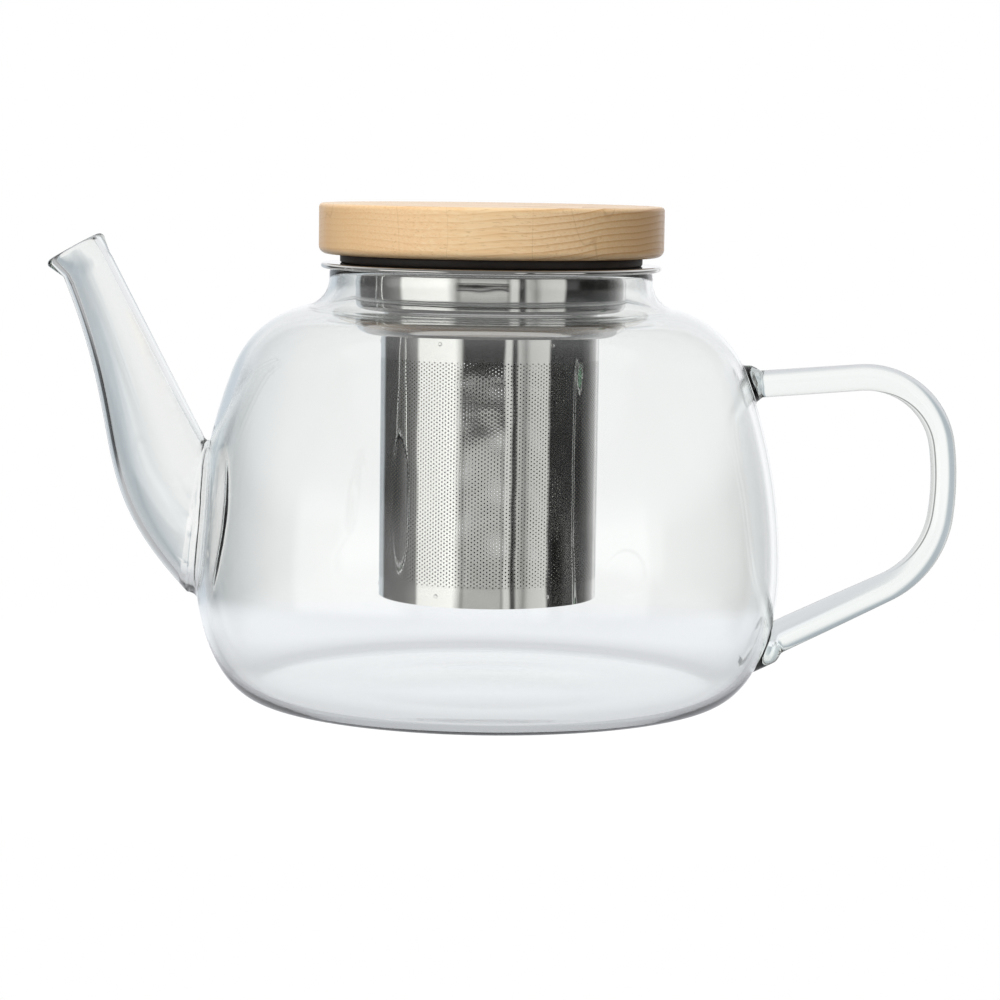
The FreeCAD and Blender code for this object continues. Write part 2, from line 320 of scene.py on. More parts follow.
class Sheet:
    """The pot's skin: the bowl's grid, and the tubes that grow from squares cut out of it."""

    def __init__(self, rows):
        self.points = list(turned_points(rows, COLUMNS))
        self.faces = [tuple(f) for f in turned_faces(len(rows), COLUMNS)]

    def grow(self, ring, rows):
        """Joins each row of points to the ring before it, and gives the last ring."""
        for row in rows:
            first = len(self.points)
            self.points.extend(row)
            new = list(range(first, len(self.points)))
            self.faces += strip(new, ring)
            ring = new
        return ring

    def close(self, ring, other):
        """Joins two rings that are walked in opposite ways."""
        count = len(ring)
        self.faces += strip([ring[facing_line(k, count)] for k in range(count)], other)

    def cut(self, column, row, half):
        """Cuts out a square of cells, and gives its edge, anticlockwise seen from the skin's clear side."""
        self.faces = [f for f in self.faces
                      if (f[0] % COLUMNS - column + half) % COLUMNS >= 2 * half
                      or not row - half <= f[0] // COLUMNS < row + half]
        side = range(-half, half)
        walk = [(k, -half) for k in side] + [(half, k) for k in side]
        walk += [(-k, half) for k in side] + [(-half, -k) for k in side]
        return [(column + i, row + j) for i, j in walk]

    def fuse(self, host, square, surface, places, fillet, surface_rows, fillet_rows):
        """Grows rows of points from a square of the bowl's grid up onto a tube, with a rounded joint.

        surface(k, place) is a point of the tube's line k, and the places start well clear of the host's
        skin and end past it. Gives the last ring, and each line's place on the tube there.
        """
        loop = self.cut(*square)
        rows = [[] for _ in range(surface_rows + fillet_rows)]
        starts = []
        for k, (column, row) in enumerate(loop):
            line = np.array([surface(k, place) for place in places])
            height = host.locate(line)[0]
            inside = int(np.argmax(height < 0))
            share = height[inside - 1] / (height[inside - 1] - height[inside])
            joint = line[inside - 1] + (line[inside] - line[inside - 1]) * share
            _, angle, at_row = host.locate(joint[None])
            steps = np.diff(np.vstack([joint, line[inside - 1::-1]]), axis=0)
            back = np.cumsum(np.linalg.norm(steps, axis=1))
            start = inside - 1 - int(np.argmax(back > fillet))
            starts.append(places[start])
            edge_angle = TURN * column / COLUMNS
            turn = (edge_angle - angle[0] + math.pi) % TURN - math.pi
            edge_point = host.surface(np.array([edge_angle]), np.array([float(row)]))[0]
            first = min(0.6, fillet / np.linalg.norm(edge_point - joint))
            shares = 1 + (first - 1) * np.linspace(0, 1, surface_rows + 1)[1:]
            spots = host.surface(angle[0] + turn * shares, at_row[0] + (row - at_row[0]) * shares)
            for n in range(surface_rows):
                rows[n].append(spots[n])
            for n in range(fillet_rows):
                t = (n + 1) / fillet_rows
                corner = (1 - t) ** 2 * spots[-1] + 2 * t * (1 - t) * joint + t ** 2 * line[start]
                rows[surface_rows + n].append(corner)
        edge = [row * COLUMNS + column % COLUMNS for column, row in loop]
        return self.grow(edge, rows), starts


def grow_spout(sheet, outer, inner):
    """Up the spout's outside, over its fire-polished edge and down its bore to the bowl's inside."""
    half = 12
    count = 8 * half
    root_z = (SPOUT_TOP[0][1] + SPOUT_UNDER[0][1]) / 2
    places = np.concatenate([np.linspace(0.6, 0, 90), np.linspace(0, -1, 40)[1:]])

    def outside(k, share):
        return spout_point(share, line_angle(k, count), 0)

    def bore(k, share):
        return spout_point(share, -line_angle(k, count), SPOUT_WALL)

    def facing_bore(k, share):
        return bore(facing_line(k, count), share)

    square = (COLUMNS // 2, outer.row_at(root_z), half)
    last, starts = sheet.fuse(outer, square, outside, places, SPOUT_FILLET, 6, 8)
    tip = [SPOUT_END - 0.008] * count
    last = sheet.grow(last, spread(starts, tip, 46, outside))
    normal = spout_section(SPOUT_END)[1]
    for bow in np.linspace(0, math.pi, 9):
        ring = []
        for k in range(count):
            skin, hollow = outside(k, SPOUT_END), facing_bore(k, SPOUT_END)
            middle, half_wall = (skin + hollow) / 2, (skin - hollow) / 2
            bulge = LIP_BEAD / np.linalg.norm(half_wall)
            ring.append(middle + half_wall * math.cos(bow) * bulge + normal * LIP_BEAD * math.sin(bow))
        last = sheet.grow(last, [ring])
    square = (COLUMNS // 2, inner.row_at(root_z), half)
    root, starts = sheet.fuse(inner, square, bore, places, BORE_FILLET, 6, 8)
    starts = [starts[facing_line(k, count)] for k in range(count)]
    sheet.close(root, sheet.grow(last, spread(tip, starts, 46, facing_bore)))


def grow_handle(sheet, outer):
    """The rod from its upper foot to its lower one, thicker where it is fused to the bowl."""
    half = 4
    count = 8 * half
    lengths, path = rod_path()
    ahead = np.gradient(path, axis=0)
    ahead /= np.linalg.norm(ahead, axis=1)[:, None]
    across = np.array([0.0, 1.0, 0.0])
    height, _, at_row = outer.locate(path)
    feet = np.flatnonzero(height > 0)[[0, -1]]
    upper_row, lower_row = (int(round(row)) for row in at_row[feet])
    near, far = lengths[feet]

    def rod_point(angle, place):
        centre, forward = (np.array([np.interp(place, lengths, way[:, k]) for k in range(3)])
                           for way in (path, ahead))
        share = min(1.0, max(0.0, (place - near) / (far - near)))
        part = int(share > 0.5)
        share = 2 * share - part
        easing = share ** 2 * (3 - 2 * share)
        from_foot = max(0.0, min(place - near, far - place))
        gather = ROD_FOOT * max(0.0, 1 - (from_foot / ROD_FOOT_LENGTH) ** 2)
        radius = ROD_RADIUS[part] + (ROD_RADIUS[part + 1] - ROD_RADIUS[part]) * easing + gather
        return centre + radius * (math.cos(angle) * across + math.sin(angle) * np.cross(forward, across))

    def rod(k, place):
        return rod_point(line_angle(k, count), place)

    def facing_rod(k, place):
        return rod_point(-line_angle(k, count), place)

    places = np.linspace(near + 9, max(0, near - 7), 110)
    upper, starts = sheet.fuse(outer, (0, upper_row, half), rod, places, ROD_FILLET, 3, 4)
    places = np.linspace(far - 9, min(lengths[-1], far + 7), 110)
    lower, ends = sheet.fuse(outer, (0, lower_row, half), facing_rod, places, ROD_FILLET, 3, 4)
    ends = [ends[facing_line(k, count)] for k in range(count)]
    sheet.close(lower, sheet.grow(upper, spread(starts, ends, 120, rod)))


def glass_pot(material):
    """Bowl, spout and handle as one closed skin."""
    outline, outer_count = bowl_outline()
    rows = outline[1:-1]
    neck, middle = outer_count - 4, len(base_middle(0))
    outer = Host(rows, middle, neck, False)
    inner = Host(rows, len(rows) - neck, len(rows) - middle, True)
    sheet = Sheet(rows)
    grow_spout(sheet, outer, inner)
    grow_handle(sheet, outer)
    sheet.faces += pole_faces(len(rows), COLUMNS, len(sheet.points))
    sheet.points += [(0, 0, outline[0][1]), (0, 0, outline[-1][1])]
    # out with the points that no face uses
    used = np.unique(np.concatenate([np.array(f) for f in sheet.faces]))
    number = np.full(len(sheet.points), -1)
    number[used] = np.arange(len(used))
    faces = [tuple(number[list(f)]) for f in sheet.faces]
    return mesh_piece("glass_pot", np.array(sheet.points)[used], faces, material, "pot",
                      ("glass_bowl", "spout", "handle"))


# ---- nodes and colours -----------------------------------------------------------------------
NODE_FAMILIES = ("ShaderNode", "GeometryNode", "FunctionNode", "Node")


def node(tree, kind, links=None, stops=(), **settings):
    """Adds a node: its kind without the family's name and, after a space, its operation.

    Each input, by number or name, is a value or a link, and a node linked whole gives its first live
    output. A ramp's stops are places and colours. A colour is hex, linear RGBA or, in a stop, a grey.
    """
    kind, _, operation = kind.partition(" ")
    made = tree.nodes.new(next(f + kind for f in NODE_FAMILIES if hasattr(bpy.types, f + kind)))
    if operation:
        made.operation = operation
    for key, value in settings.items():
        setattr(made, key, value)
    for key, value in (links or {}).items():
        if isinstance(value, bpy.types.Node):
            value = next(output for output in value.outputs if output.enabled)
        elif isinstance(value, str):
            value = linear(value)
        if isinstance(value, bpy.types.NodeSocket):
            tree.links.new(value, made.inputs[key])
        else:
            made.inputs[key].default_value = value
    for k, (place, colour) in enumerate(stops):
        elements = made.color_ramp.elements
        if k == 0:
            elements.remove(elements[1])
        stop = elements[0] if k == 0 else elements.new(place)
        stop.position = place
        if isinstance(colour, str):
            colour = linear(colour)
        stop.color = colour if isinstance(colour, list) else [colour] * 3 + [1.0]
    return made


def linear(colour):
    """A hex sRGB colour as linear RGBA."""
    parts = [int(colour[k:k + 2], 16) / 255 for k in (1, 3, 5)]
    return [c / 12.92 if c < 0.04045 else ((c + 0.055) / 1.055) ** 2.4 for c in parts] + [1.0]


def layered(tree, base, layers):
    """Lays colours over a base, each with its share and how it is blended."""
    for share, colour, blend in layers:
        base = node(tree, "Mix", {0: share, 6: base, 7: colour}, data_type="RGBA", blend_type=blend)
    return base


def new_material(name):
    material = bpy.data.materials.new(name)
    material.use_nodes = True
    material.node_tree.nodes.clear()
    return material, material.node_tree


def millimetres(tree):
    place = node(tree, "TexCoord").outputs["Object"]
    return node(tree, "VectorMath SCALE", {0: place, 3: 1000.0})


def streaks(tree, place, per_mm, detail):
    """Noise with its own number of waves per mm along each axis."""
    place = node(tree, "VectorMath MULTIPLY", {0: place, 1: per_mm})
    return node(tree, "TexNoise", {"Vector": place, "Scale": 1.0, "Detail": detail})


# ---- materials -------------------------------------------------------------------------------
def blown_glass():
    """Borosilicate glass, blown and fire polished.

    Perfectly smooth, so that only its edges and reflections show; a trace of iron greens it where the
    eye looks along the wall. It lets light through to what stands behind it.
    """
    material, tree = new_material("borosilicate_glass_blown_fire_polished")
    clear = node(tree, "BsdfPrincipled",
                 {"Base Color": "#FFFFFF", "Roughness": 0.0, "IOR": 1.47,
                  "Transmission Weight": 1.0})
    open_to_light = node(tree, "BsdfTransparent", {0: "#F4F6F4"})
    shadow = node(tree, "LightPath").outputs["Is Shadow Ray"]
    skin = node(tree, "MixShader", {0: shadow, 1: clear, 2: open_to_light})
    tint = node(tree, "VolumeAbsorption", {"Color": "#DCF6E4", "Density": 18.0})
    node(tree, "OutputMaterial", {"Surface": skin, "Volume": tint})
    return material


def polished_steel():
    """Stainless sheet, deep drawn and polished to a mirror.

    Faint lines left by the polishing wheel, 0.2 mm apart, run round the turned pieces and stretch the
    reflections a little; the sheet's own slow waviness keeps them from being straight.
    """
    material, tree = new_material("stainless_steel_polished_mirror")
    place = millimetres(tree)
    wheel = streaks(tree, place, (0.02, 0.02, 5.0), 3.0)
    waves = node(tree, "TexNoise", {"Vector": place, "Scale": 0.09, "Detail": 1.0})
    rough = node(tree, "MapRange",
                 {"Value": wheel, "From Min": 0.3, "From Max": 0.7, "To Min": 0.02, "To Max": 0.05})
    slow = node(tree, "Bump", {"Height": waves, "Strength": 0.25, "Distance": 0.0004})
    fine = node(tree, "Bump", {"Height": wheel, "Strength": 0.05, "Distance": 0.00002, "Normal": slow})
    # faces turned towards the axis are given a darker grey and a rougher finish
    level = node(tree, "VectorMath MULTIPLY", {0: place, 1: (1.0, 1.0, 0.0)})
    facing = node(tree, "NewGeometry").outputs["True Normal"]
    facing = node(tree, "VectorMath DOT_PRODUCT", {0: level, 1: facing})
    inside = node(tree, "Math LESS_THAN", {0: facing, 1: -1.0})
    tone = layered(tree, "#E4E3DF", [(inside, "#8E8D8A", "MIX")])
    rough = node(tree, "Math MULTIPLY_ADD", {0: inside, 1: 0.3, 2: rough})
    steel = node(tree, "BsdfPrincipled",
                 {"Base Color": tone, "Metallic": 1.0, "Roughness": rough, "Normal": fine})
    node(tree, "OutputMaterial", {"Surface": steel})
    return material


def lacquered_beech():
    """Beech, turned across the plank and given a thin matt lacquer.

    Growth rings 3 mm apart, long fibres, and beech's short dark ray flecks, all running along X; the
    end grain at the two sides is darker and finely speckled.
    """
    material, tree = new_material("beech_turned_matt_lacquer")
    place = millimetres(tree)
    sway = node(tree, "TexNoise", {"Vector": place, "Scale": 0.022, "Detail": 2.0}).outputs["Color"]
    sway = node(tree, "VectorMath SCALE", {0: sway, 3: 6.0})
    bent = node(tree, "VectorMath ADD", {0: place, 1: sway})
    plank = node(tree, "Mapping",
                 {"Vector": bent, "Location": (0.0, 14.0, 62.0),
                  "Rotation": (0.0, math.radians(3.5), math.radians(5.0))})
    rings = node(tree, "TexWave",
                 {"Vector": plank, "Scale": 0.2, "Distortion": 1.0, "Detail": 2.0, "Detail Scale": 0.2},
                 wave_type="RINGS", rings_direction="X", wave_profile="SAW")
    fibre = streaks(tree, bent, (0.05, 2.4, 2.4), 5.0)
    fleck = streaks(tree, bent, (0.42, 3.6, 3.6), 1.0)
    fleck = node(tree, "MapRange", {"Value": fleck, "From Min": 0.62, "From Max": 0.72})
    marks = node(tree, "Math MULTIPLY", {0: fleck, 1: 0.28})
    cloud = node(tree, "TexNoise", {"Vector": place, "Scale": 0.035, "Detail": 2.0})
    # light early wood to darker late wood
    tone = node(tree, "ValToRGB", {0: rings},
                [(0.0, "#F2D2A6"), (0.65, "#EDC998"), (1.0, "#CF9C66")])
    # the rings are faint where the plank was cut along them, and plain towards +X
    plain = node(tree, "SeparateXYZ", {0: bent})
    plain = node(tree, "MapRange",
                 {"Value": plain, "From Min": -5.0, "From Max": 28.0, "To Min": 0.72, "To Max": 0.0},
                 interpolation_type="SMOOTHSTEP")
    facing = node(tree, "NewGeometry").outputs["Normal"]
    facing = node(tree, "SeparateXYZ", {0: facing})
    end_grain = node(tree, "Math MULTIPLY", {0: facing, 1: facing})
    end_grain = node(tree, "Math MULTIPLY", {0: end_grain, 1: 0.55})
    # a few rays cut lengthwise show as thin lines across the grain
    ray = streaks(tree, place, (0.075, 0.05, 0.022), 1.0)
    ray = node(tree, "Math SUBTRACT", {0: ray, 1: 0.5})
    ray = node(tree, "Math ABSOLUTE", {0: ray})
    ray = node(tree, "MapRange",
               {"Value": ray, "From Min": 0.0, "From Max": 0.006, "To Min": 0.3, "To Max": 0.0})
    tone = layered(tree, tone, [
        (plain, "#F0CEA0", "MIX"), (0.5, fibre, "SOFT_LIGHT"), (0.35, cloud, "SOFT_LIGHT"),
        (marks, "#A97A4C", "MIX"), (end_grain, "#C4935C", "MIX"),
        (ray, "#A87D50", "MIX"),
    ])
    relief = node(tree, "Math SUBTRACT", {0: fibre, 1: fleck})
    bump = node(tree, "Bump", {"Height": relief, "Strength": 0.35, "Distance": 0.00006})
    rough = node(tree, "MapRange", {"Value": fibre, "To Min": 0.42, "To Max": 0.58})
    wood = node(tree, "BsdfPrincipled",
                {"Base Color": tone, "Roughness": rough, "Normal": bump,
                 "Coat Weight": 0.4, "Coat Roughness": 0.16})
    node(tree, "OutputMaterial", {"Surface": wood})
    return material


def moulded_silicone():
    """Black food silicone, moulded in a blasted tool: matt and very slightly grainy."""
    material, tree = new_material("silicone_moulded_matt_black")
    place = millimetres(tree)
    grain = node(tree, "TexNoise", {"Vector": place, "Scale": 3.0, "Detail": 3.0})
    dust = node(tree, "TexNoise", {"Vector": place, "Scale": 0.25, "Detail": 2.0})
    tone = node(tree, "ValToRGB", {0: dust}, [(0.3, "#383432"), (0.75, "#423E3B")])
    bump = node(tree, "Bump", {"Height": grain, "Strength": 0.3, "Distance": 0.00004})
    rough = node(tree, "MapRange", {"Value": grain, "To Min": 0.5, "To Max": 0.66})
    rubber = node(tree, "BsdfPrincipled", {"Base Color": tone, "Roughness": rough, "Normal": bump})
    node(tree, "OutputMaterial", {"Surface": rubber})
    return material


# ---- the strainer ----------------------------------------------------------------------------
FLANGE_RADIUS, COLLAR_UNDERSIDE_Z = high("infuser_collar")[0], low("infuser_collar")[2]
FLANGE_TOP_Z = high("infuser_collar")[2]
SHEET = 0.6
COLLAR_RADIUS = 33.8
COLLAR_CORNER = 5.0
SLEEVE_RADIUS = high("infuser_sleeve")[1]
SLEEVE_Z = low("infuser_sleeve")[2], high("infuser_sleeve")[2]
SLEEVE_SHEET = 0.4
SLEEVE_COLUMNS = 224
HOLE_ROWS = (15, 14, 15, 14)
HOLE_PITCH = 0.962
HOLE_DIAMETER = 0.42
LOW_BAND = 4.7              # plain metal below the holes
MERGE = 0.02                # points nearer than this are one
SHARP = 0.6                 # radians by which two faces turn at an edge of cut sheet
CUP_Z = high("infuser_base")[2]


def collar(steel):
    """Rolled flange, drawn cup and ledge, all one sheet."""
    bead, roll, tuck = (FLANGE_TOP_Z - RIM_Z) / 2, 1.3, 0.7
    bore = COLLAR_RADIUS - SHEET
    inner = SLEEVE_RADIUS - SLEEVE_SHEET
    ledge = COLLAR_UNDERSIDE_Z
    corner = (COLLAR_RADIUS - COLLAR_CORNER, ledge + COLLAR_CORNER)
    lip = (bore + roll, FLANGE_TOP_Z - roll)
    outline = [
        arc_points((inner + SHEET / 2, ledge + SHEET / 2), SHEET / 2, 90, 270, 0.15),
        run_points((inner + SHEET / 2, ledge), (corner[0], ledge), 1.5),
        arc_points(corner, COLLAR_CORNER, -90, 0, 0.5),
        run_points((COLLAR_RADIUS, corner[1]), (COLLAR_RADIUS, RIM_Z - tuck), 1.5),
        arc_points((COLLAR_RADIUS + tuck, RIM_Z - tuck), tuck, 180, 90, 0.15),
        run_points((COLLAR_RADIUS + tuck, RIM_Z), (FLANGE_RADIUS - bead, RIM_Z), 1.5),
        arc_points((FLANGE_RADIUS - bead, RIM_Z + bead), bead, -90, 90, 0.2),
        run_points((FLANGE_RADIUS - bead, FLANGE_TOP_Z), (lip[0], FLANGE_TOP_Z), 1.5),
        arc_points(lip, roll, 90, 180, 0.25),
        run_points((bore, lip[1]), (bore, corner[1]), 1.5),
        arc_points(corner, COLLAR_CORNER - SHEET, 0, -90, 0.5),
        run_points((corner[0], ledge + SHEET), (inner + SHEET / 2, ledge + SHEET), 1.5),
    ]
    return turned_piece("strainer_collar", outline, steel, "infuser", ("infuser_collar",),
                        256)


def cup(steel):
    """The shallow cup that closes the sleeve's bottom, with a rounded corner and one pressed ring."""
    outer, base = SLEEVE_RADIUS - SLEEVE_SHEET - 0.02, SLEEVE_Z[0]
    top, turn = CUP_Z, 1.2
    outline = [
        [(0, base + 0.25)],
        run_points((4, base + 0.25), (18.5, base + 0.25), 3),
        arc_points((20, base + 1.65), 1.4, -130, -50, 0.4),
        run_points((21.5, base), (outer - turn, base), 1.5),
        arc_points((outer - turn, base + turn), turn, -90, 0, 0.3),
        run_points((outer, base + turn), (outer, top - 0.2), 1.2),
        arc_points((outer - 0.2, top - 0.2), 0.2, 0, 180, 0.1),
        run_points((outer - 0.4, top - 0.2), (outer - 0.4, base + turn), 1.2),
        arc_points((outer - turn, base + turn), turn - 0.4, 0, -90, 0.3),
        run_points((outer - turn, base + 0.4), (4, base + 0.65), 2.5),
        [(4, base + 0.65), (0, base + 0.65)],
    ]
    return turned_piece("strainer_cup", outline, steel, "infuser", ("infuser_base",),
                        160, closed=False)


def plain_band(name, bottom, top, steel):
    """An unpunched end of the sleeve, with as many columns as the holes have."""
    outer, inner = SLEEVE_RADIUS, SLEEVE_RADIUS - SLEEVE_SHEET
    outline = [
        run_points((outer, bottom), (outer, top), 1.5), [(outer, top)],
        run_points((inner, top), (inner, bottom), 1.5), [(inner, bottom)],
    ]
    piece = turned_piece(name, outline, steel, "infuser", (), SLEEVE_COLUMNS)
    piece.data.set_sharp_from_angle(angle=SHARP)


def tile_mesh(width, height):
    """One cell of the punched sheet in the plane y = 0: a six-sided hole in a six-cornered frame."""
    w, h = width / 2, height / 2
    frame_corners = [(-w, -h), (w, -h), (w, 0), (w, h), (-w, h), (-w, 0)]
    hole = [(HOLE_DIAMETER / 2 * math.cos(math.radians(a)), HOLE_DIAMETER / 2 * math.sin(math.radians(a)))
            for a in (-120, -60, 0, 60, 120, 180)]
    points = [(x * MM, 0, z * MM) for x, z in frame_corners + hole]
    mesh = bpy.data.meshes.new("punched_tile")
    mesh.from_pydata(points, [], [(k, (k + 1) % 6, (k + 1) % 6 + 6, k + 6) for k in range(6)])
    return mesh


def group_with(name, sizes):
    """A geometry node tree with its own named inputs, whole numbers or lengths."""
    tree = bpy.data.node_groups.new(name, "GeometryNodeTree")
    tree.interface.new_socket("Geometry", in_out="INPUT", socket_type="NodeSocketGeometry")
    for label, value in sizes.items():
        kind = "NodeSocketInt" if isinstance(value, int) else "NodeSocketFloat"
        tree.interface.new_socket(label, in_out="INPUT", socket_type=kind).default_value = value
    tree.interface.new_socket("Geometry", in_out="OUTPUT", socket_type="NodeSocketGeometry")
    return tree, node(tree, "GroupInput").outputs


def laid_out(name, mesh, tree, values, material, nodes):
    """A piece whose mesh is what a tree makes of a small mesh, with the tree taken off again."""
    host = bpy.data.objects.new(name + "_host", mesh)
    bpy.context.scene.collection.objects.link(host)
    step = host.modifiers.new("layout", "NODES")
    step.node_group = tree
    for item in tree.interface.items_tree:
        if item.item_type == "SOCKET" and item.in_out == "INPUT" and item.name in values:
            step[item.identifier] = values[item.name]
    ready = host.evaluated_get(bpy.context.evaluated_depsgraph_get())
    made = bpy.data.meshes.new_from_object(ready)
    bpy.data.objects.remove(host)
    made.name = name
    return finished(name, made, material, "infuser", nodes)


def punched_sheet(steel):
    """Staggered rows of holes, rolled into a tube and given the sheet's thickness."""
    pitch = TURN * SLEEVE_RADIUS / SLEEVE_COLUMNS
    tree, given = group_with("punched_sheet", {
        "Columns": SLEEVE_COLUMNS, "Rows": 15, "Column pitch": pitch * MM, "Row pitch": HOLE_PITCH * MM,
        "Bottom": 0.0, "Bore": (SLEEVE_RADIUS - SLEEVE_SHEET) * MM, "Sheet": SLEEVE_SHEET * MM,
        "First": 0, "Last": 0})
    rows, wide, tall = given["Rows"], given["Column pitch"], given["Row pitch"]

    def placed(points, across, steps):
        up = node(tree, "Math MULTIPLY_ADD", {0: steps, 1: tall, 2: given["Bottom"]})
        along = node(tree, "Math MULTIPLY", {0: across, 1: wide})
        spot = node(tree, "CombineXYZ", {0: along, 2: up})
        return node(tree, "SetPosition", {"Geometry": points, "Position": spot})

    # one tile for each hole, numbered up each column in turn; every other column is half a row higher
    index = node(tree, "InputIndex")
    count = node(tree, "Math MULTIPLY", {0: given["Columns"], 1: rows})
    row = node(tree, "Math MODULO", {0: index, 1: rows})
    column = node(tree, "Math SUBTRACT", {0: index, 1: row})
    column = node(tree, "Math DIVIDE", {0: column, 1: rows})
    odd = node(tree, "Math MODULO", {0: column, 1: 2.0})
    step = node(tree, "Math MULTIPLY_ADD", {0: odd, 1: 0.5, 2: row})
    step = node(tree, "Math ADD", {0: step, 1: 0.5})
    # the last tile of a higher column would stand out past the sheet's end
    reach = node(tree, "Math MULTIPLY_ADD", {0: odd, 1: given["Last"], 2: row})
    limit = node(tree, "Math SUBTRACT", {0: rows, 1: 0.5})
    kept = node(tree, "Math LESS_THAN", {0: reach, 1: limit})
    points = placed(node(tree, "Points", {"Count": count}), column, step)
    tiles = {"Points": points, "Instance": given["Geometry"], "Selection": kept}
    flat = [node(tree, "InstanceOnPoints", tiles)]
    # half cells square off the sheet's two ends
    half = node(tree, "Math MULTIPLY", {0: tall, 1: 0.5})
    half = node(tree, "MeshGrid", {"Size X": wide, "Size Y": half, "Vertices X": 2, "Vertices Y": 2})
    half = node(tree, "Transform", {"Geometry": half, "Rotation": (math.pi / 2, 0.0, 0.0)})
    odd = node(tree, "Math MODULO", {0: index, 1: 2.0})
    top = node(tree, "Math SUBTRACT", {0: rows, 1: 0.25})
    for end, steps in (("First", 0.25), ("Last", top)):
        spots = placed(node(tree, "Points", {"Count": given["Columns"]}), index, steps)
        chosen = node(tree, "Math MULTIPLY", {0: odd, 1: given[end]})
        chosen = node(tree, "Math GREATER_THAN", {0: chosen, 1: 0.5})
        tiles = {"Points": spots, "Instance": half, "Selection": chosen}
        flat.append(node(tree, "InstanceOnPoints", tiles))
    sheet = node(tree, "RealizeInstances", {"Geometry": joined(tree, flat)})

    # rolled up, its first and last columns merged, and given its thickness
    place = node(tree, "InputPosition")
    split = node(tree, "SeparateXYZ", {0: place}).outputs
    whole = node(tree, "Math MULTIPLY", {0: wide, 1: given["Columns"]})
    angle = node(tree, "Math DIVIDE", {0: split[0], 1: whole})
    angle = node(tree, "Math MULTIPLY", {0: angle, 1: TURN})
    across = node(tree, "Math COSINE", {0: angle})
    outwards = node(tree, "CombineXYZ", {0: across, 1: node(tree, "Math SINE", {0: angle})})
    rolled = node(tree, "VectorMath SCALE", {0: outwards, 3: given["Bore"]})
    rise = node(tree, "CombineXYZ", {2: split[2]})
    rolled = node(tree, "VectorMath ADD", {0: rolled, 1: rise})
    tube = node(tree, "SetPosition", {"Geometry": sheet, "Position": rolled})
    tube = node(tree, "MergeByDistance", {"Geometry": tube, "Distance": MERGE * MM})
    radial = node(tree, "VectorMath MULTIPLY", {0: place, 1: (1.0, 1.0, 0.0)})
    radial = node(tree, "VectorMath NORMALIZE", {0: radial})
    thick = node(tree, "ExtrudeMesh",
                 {"Mesh": tube, "Offset": radial, "Offset Scale": given["Sheet"], "Individual": False})
    both = joined(tree, [thick, node(tree, "FlipFaces", {"Mesh": tube})])
    both = node(tree, "MergeByDistance", {"Geometry": both, "Distance": MERGE * MM})
    bend = node(tree, "InputMeshEdgeAngle").outputs["Unsigned Angle"]
    sharp = node(tree, "Math GREATER_THAN", {0: bend, 1: SHARP})
    smooth = node(tree, "SetShadeSmooth", {"Geometry": both, "Shade Smooth": True})
    edged = node(tree, "SetShadeSmooth",
                 {"Geometry": smooth, "Selection": sharp, "Shade Smooth": False}, domain="EDGE")
    done = node(tree, "SetMaterial", {"Geometry": edged, "Material": steel})
    node(tree, "GroupOutput", {"Geometry": done})

    bottom = SLEEVE_Z[0] + LOW_BAND
    for k, band_rows in enumerate(HOLE_ROWS):
        values = {"Rows": band_rows, "Bottom": bottom * MM,
                  "First": int(k == 0), "Last": int(k == len(HOLE_ROWS) - 1)}
        nodes = ("infuser_sleeve",) if k == 0 else ()
        laid_out("strainer_sleeve_%d" % (k + 1), tile_mesh(pitch, HOLE_PITCH), tree, values, steel, nodes)
        bottom += band_rows * HOLE_PITCH
    return bottom


def joined(tree, parts):
    whole = node(tree, "JoinGeometry")
    for part in parts:
        tree.links.new(part.outputs[0], whole.inputs[0])
    return whole


def spot_welds(steel, heights_and_turns):
    """Small round weld marks that stand just proud of the sleeve, six round each end."""
    tree, given = group_with("spot_welds", {
        "Count": 6, "Radius": SLEEVE_RADIUS * MM, "Turn": 0.0, "Height": 0.0})
    ring = node(tree, "MeshCircle", {"Vertices": given["Count"], "Radius": given["Radius"]})
    around = node(tree, "CombineXYZ", {2: given["Turn"]})
    lifted = node(tree, "CombineXYZ", {2: given["Height"]})
    ring = node(tree, "Transform", {"Geometry": ring, "Rotation": around, "Translation": lifted})
    level = node(tree, "VectorMath MULTIPLY", {0: node(tree, "InputPosition"), 1: (1.0, 1.0, 0.0)})
    aim = node(tree, "AlignRotationToVector", {"Vector": level}, axis="X")
    marks = node(tree, "InstanceOnPoints",
                 {"Points": ring, "Instance": given["Geometry"], "Rotation": aim})
    marks = node(tree, "RealizeInstances", {"Geometry": marks})
    marks = node(tree, "SetMaterial", {"Geometry": marks, "Material": steel})
    node(tree, "GroupOutput", {"Geometry": marks})
    for k, (height, turn) in enumerate(heights_and_turns):
        laid_out("strainer_welds_%d" % (k + 1), weld_mesh(), tree,
                 {"Turn": math.radians(turn), "Height": height * MM}, steel, ())


def weld_mesh():
    """One weld mark facing +X: a shallow dish with a raised ring, closed behind."""
    profile = np.array([(0.12, 0.03), (0.25, 0.02), (0.38, 0.06), (0.5, 0.05), (0.58, -0.06)])
    sides = 20
    points = turned_points(profile * MM, sides)
    faces = np.roll(turned_faces(len(profile), sides)[:, ::-1], 1, axis=1).tolist()
    faces += [list(range(sides)), list(range(len(points) - sides, len(points)))[::-1]]
    mesh = bpy.data.meshes.new("weld_mark")
    mesh.from_pydata(points[:, [2, 0, 1]].tolist(), [], faces)
    mesh.polygons.foreach_set("use_smooth", [True] * len(mesh.polygons))
    return mesh


# ---- the lid ---------------------------------------------------------------------------------
PLUG_RADIUS = 29.0


